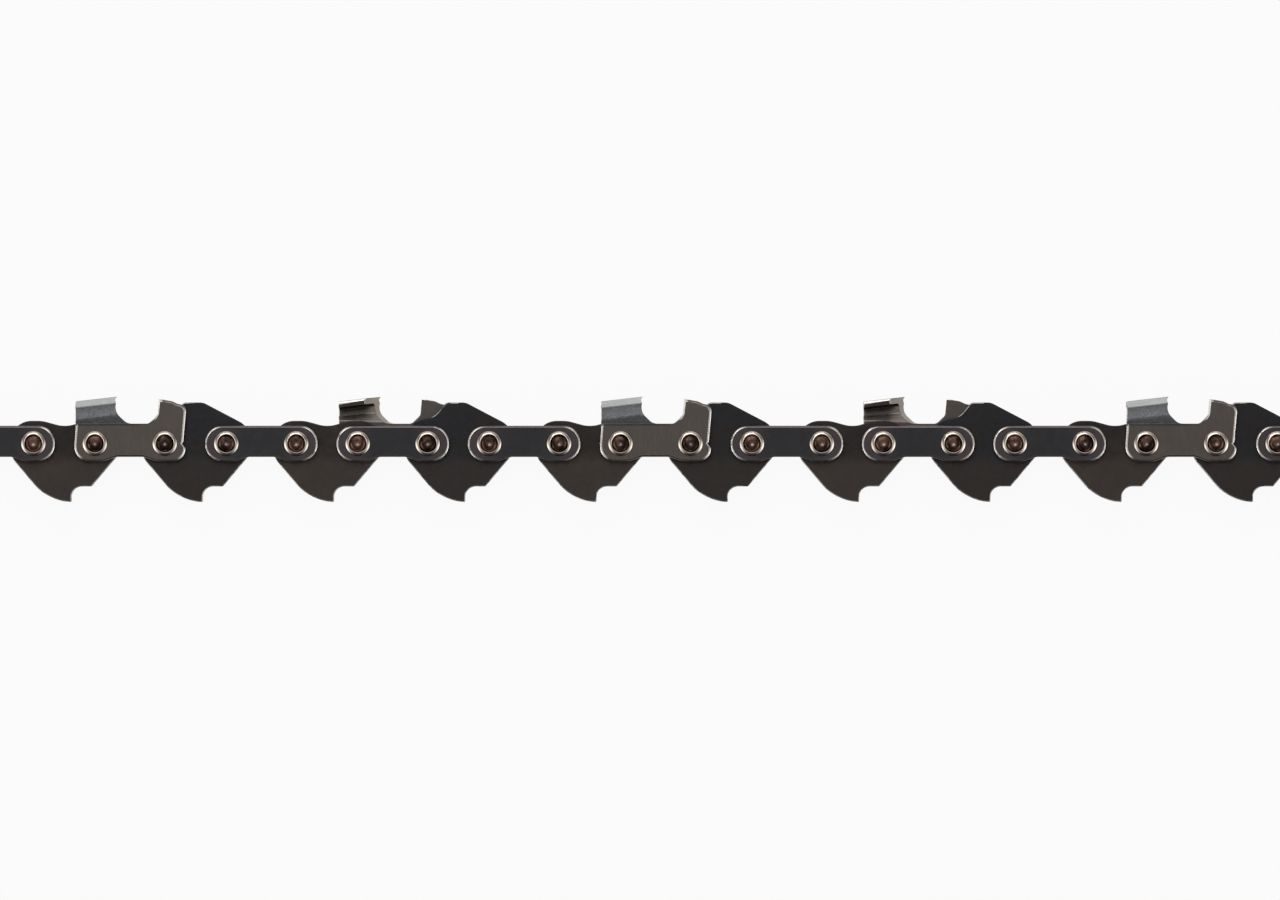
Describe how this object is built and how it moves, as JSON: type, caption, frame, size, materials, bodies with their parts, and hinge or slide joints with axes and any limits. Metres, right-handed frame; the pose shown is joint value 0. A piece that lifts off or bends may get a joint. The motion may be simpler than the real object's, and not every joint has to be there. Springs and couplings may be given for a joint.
{
  "type": "chainsaw chain",
  "caption": "Straight length of low-profile saw chain: riveted drive links, tie straps and right- and left-hand cutters with depth gauges and safety bumper links, hinged at every rivet.",
  "frame": {"origin": "centre of the bounding box's bottom, where the chain lies flat on its left-hand side", "axes": "+X the way the chain travels when it cuts, +Y from the drive tangs to the cutting edges, +Z across the chain along every rivet, to its right-hand side"},
  "size_m": [0.2202, 0.0149, 0.0063],
  "materials": {
    "drive_steel": "blackened, satin",
    "bumper_steel": "blackened, satin",
    "strap_steel": "blued, satin",
    "cutter_steel": "satin, ground bright on the cutting faces",
    "rivet_steel": "spun bright, oil-browned dish"
  },
  "bodies": {
    "pair_01": {"right_strap_01": "strap_steel", "left_strap_01": "strap_steel", "rear_rivet_01": "rivet_steel", "front_rivet_01": "rivet_steel"},
    "pair_02": {"right_cutter_02": "cutter_steel", "left_strap_02": "strap_steel", "rear_rivet_02": "rivet_steel", "front_rivet_02": "rivet_steel"},
    "pair_03": {"right_strap_03": "strap_steel", "left_strap_03": "strap_steel", "rear_rivet_03": "rivet_steel", "front_rivet_03": "rivet_steel"},
    "pair_04": {"right_strap_04": "strap_steel", "left_cutter_04": "cutter_steel", "rear_rivet_04": "rivet_steel", "front_rivet_04": "rivet_steel"},
    "pair_05": {"right_strap_05": "strap_steel", "left_strap_05": "strap_steel", "rear_rivet_05": "rivet_steel", "front_rivet_05": "rivet_steel"},
    "pair_06": {"right_cutter_06": "cutter_steel", "left_strap_06": "strap_steel", "rear_rivet_06": "rivet_steel", "front_rivet_06": "rivet_steel"},
    "pair_07": {"right_strap_07": "strap_steel", "left_strap_07": "strap_steel", "rear_rivet_07": "rivet_steel", "front_rivet_07": "rivet_steel"},
    "pair_08": {"right_strap_08": "strap_steel", "left_cutter_08": "cutter_steel", "rear_rivet_08": "rivet_steel", "front_rivet_08": "rivet_steel"},
    "pair_09": {"right_strap_09": "strap_steel", "left_strap_09": "strap_steel", "rear_rivet_09": "rivet_steel", "front_rivet_09": "rivet_steel"},
    "pair_10": {"right_cutter_10": "cutter_steel", "left_strap_10": "strap_steel", "rear_rivet_10": "rivet_steel", "front_rivet_10": "rivet_steel"},
    "pair_11": {"right_strap_11": "strap_steel", "left_strap_11": "strap_steel", "rear_rivet_11": "rivet_steel", "front_rivet_11": "rivet_steel"},
    "link_01": {"bumper_link_01": "bumper_steel"},
    "link_02": {"drive_link_02": "drive_steel"},
    "link_03": {"bumper_link_03": "bumper_steel"},
    "link_04": {"drive_link_04": "drive_steel"},
    "link_05": {"bumper_link_05": "bumper_steel"},
    "link_06": {"drive_link_06": "drive_steel"},
    "link_07": {"bumper_link_07": "bumper_steel"},
    "link_08": {"drive_link_08": "drive_steel"},
    "link_09": {"bumper_link_09": "bumper_steel"},
    "link_10": {"drive_link_10": "drive_steel"},
    "link_11": {"bumper_link_11": "bumper_steel"},
    "link_12": {"drive_link_12": "drive_steel"}
  },
  "joints": [
    {"name": "link_07_on_pair_06", "type": "hinge", "parent": "pair_06", "child": "link_07", "pos_m": [0.0049, 0.0008, 0.00318], "axis": [0, 0, 1], "range_deg": [-25.7, 20]},
    {"name": "pair_07_on_link_07", "type": "hinge", "parent": "link_07", "child": "pair_07", "pos_m": [0.0136, 0.0008, 0.00318], "axis": [0, 0, 1], "range_deg": [-25.7, 20]},
    {"name": "link_08_on_pair_07", "type": "hinge", "parent": "pair_07", "child": "link_08", "pos_m": [0.0235, 0.0008, 0.00318], "axis": [0, 0, 1], "range_deg": [-25.7, 20]},
    {"name": "pair_08_on_link_08", "type": "hinge", "parent": "link_08", "child": "pair_08", "pos_m": [0.0322, 0.0008, 0.00318], "axis": [0, 0, 1], "range_deg": [-25.7, 20]},
    {"name": "link_09_on_pair_08", "type": "hinge", "parent": "pair_08", "child": "link_09", "pos_m": [0.0421, 0.0008, 0.00318], "axis": [0, 0, 1], "range_deg": [-25.7, 20]},
    {"name": "pair_09_on_link_09", "type": "hinge", "parent": "link_09", "child": "pair_09", "pos_m": [0.0508, 0.0008, 0.00318], "axis": [0, 0, 1], "range_deg": [-25.7, 20]},
    {"name": "link_10_on_pair_09", "type": "hinge", "parent": "pair_09", "child": "link_10", "pos_m": [0.0607, 0.0008, 0.00318], "axis": [0, 0, 1], "range_deg": [-25.7, 20]},
    {"name": "pair_10_on_link_10", "type": "hinge", "parent": "link_10", "child": "pair_10", "pos_m": [0.0694, 0.0008, 0.00318], "axis": [0, 0, 1], "range_deg": [-25.7, 20]},
    {"name": "link_11_on_pair_10", "type": "hinge", "parent": "pair_10", "child": "link_11", "pos_m": [0.0793, 0.0008, 0.00318], "axis": [0, 0, 1], "range_deg": [-25.7, 20]},
    {"name": "pair_11_on_link_11", "type": "hinge", "parent": "link_11", "child": "pair_11", "pos_m": [0.088, 0.0008, 0.00318], "axis": [0, 0, 1], "range_deg": [-25.7, 20]},
    {"name": "link_12_on_pair_11", "type": "hinge", "parent": "pair_11", "child": "link_12", "pos_m": [0.0979, 0.0008, 0.00318], "axis": [0, 0, 1], "range_deg": [-25.7, 20]},
    {"name": "link_06_on_pair_06", "type": "hinge", "parent": "pair_06", "child": "link_06", "pos_m": [-0.005, 0.0008, 0.00318], "axis": [0, 0, 1], "range_deg": [-20, 25.7]},
    {"name": "pair_05_on_link_06", "type": "hinge", "parent": "link_06", "child": "pair_05", "pos_m": [-0.0137, 0.0008, 0.00318], "axis": [0, 0, 1], "range_deg": [-20, 25.7]},
    {"name": "link_05_on_pair_05", "type": "hinge", "parent": "pair_05", "child": "link_05", "pos_m": [-0.0236, 0.0008, 0.00318], "axis": [0, 0, 1], "range_deg": [-20, 25.7]},
    {"name": "pair_04_on_link_05", "type": "hinge", "parent": "link_05", "child": "pair_04", "pos_m": [-0.0323, 0.0008, 0.00318], "axis": [0, 0, 1], "range_deg": [-20, 25.7]},
    {"name": "link_04_on_pair_04", "type": "hinge", "parent": "pair_04", "child": "link_04", "pos_m": [-0.0422, 0.0008, 0.00318], "axis": [0, 0, 1], "range_deg": [-20, 25.7]},
    {"name": "pair_03_on_link_04", "type": "hinge", "parent": "link_04", "child": "pair_03", "pos_m": [-0.0509, 0.0008, 0.00318], "axis": [0, 0, 1], "range_deg": [-20, 25.7]},
    {"name": "link_03_on_pair_03", "type": "hinge", "parent": "pair_03", "child": "link_03", "pos_m": [-0.0608, 0.0008, 0.00318], "axis": [0, 0, 1], "range_deg": [-20, 25.7]},
    {"name": "pair_02_on_link_03", "type": "hinge", "parent": "link_03", "child": "pair_02", "pos_m": [-0.0695, 0.0008, 0.00318], "axis": [0, 0, 1], "range_deg": [-20, 25.7]},
    {"name": "link_02_on_pair_02", "type": "hinge", "parent": "pair_02", "child": "link_02", "pos_m": [-0.0794, 0.0008, 0.00318], "axis": [0, 0, 1], "range_deg": [-20, 25.7]},
    {"name": "pair_01_on_link_02", "type": "hinge", "parent": "link_02", "child": "pair_01", "pos_m": [-0.0881, 0.0008, 0.00318], "axis": [0, 0, 1], "range_deg": [-20, 25.7]},
    {"name": "link_01_on_pair_01", "type": "hinge", "parent": "pair_01", "child": "link_01", "pos_m": [-0.098, 0.0008, 0.00318], "axis": [0, 0, 1], "range_deg": [-20, 25.7]}
  ]
}
